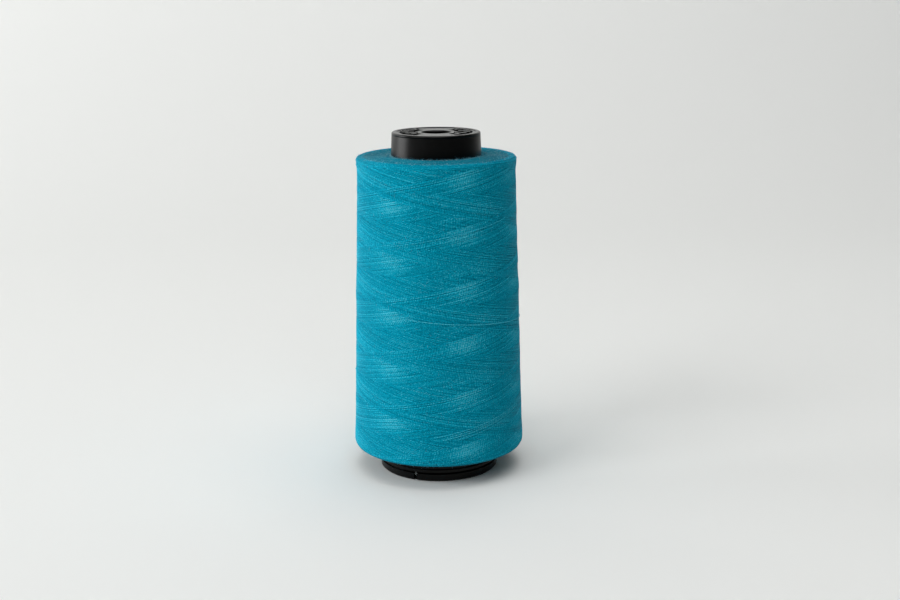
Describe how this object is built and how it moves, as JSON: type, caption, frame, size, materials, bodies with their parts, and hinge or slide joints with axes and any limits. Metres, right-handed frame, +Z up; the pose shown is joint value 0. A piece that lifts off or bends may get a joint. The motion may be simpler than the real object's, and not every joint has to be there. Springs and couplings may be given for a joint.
{
  "type": "sewing thread spool",
  "caption": "Tall, slightly tapered spool of cross-wound sewing thread on a black moulded tube with a spindle hole on top and a push-on thread-lock foot.",
  "frame": {"origin": "centre of the face that the spool stands on, on the spool's axis", "axes": "+Z up along the spool's axis towards the end with the spindle hole; -Y is the side with the thread notch in view, +X to the right of it"},
  "size_m": [0.0628, 0.0628, 0.1252],
  "materials": {
    "black_polypropylene": "satin black injection-moulded polypropylene",
    "black_polypropylene_foot": "satin black injection-moulded polypropylene",
    "polyester_thread": "teal spun polyester sewing thread, cross-wound, slight sheen"
  },
  "bodies": {
    "spool": {"spool_tube": "black_polypropylene", "thread_winding": "polyester_thread", "last_turn": "polyester_thread"},
    "foot": {"thread_lock_foot": "black_polypropylene_foot"}
  },
  "joints": [
    {"name": "foot_pull", "type": "slide", "parent": "spool", "child": "foot", "axis": [0, 0, -1], "range_m": [0, 0.004]}
  ]
}
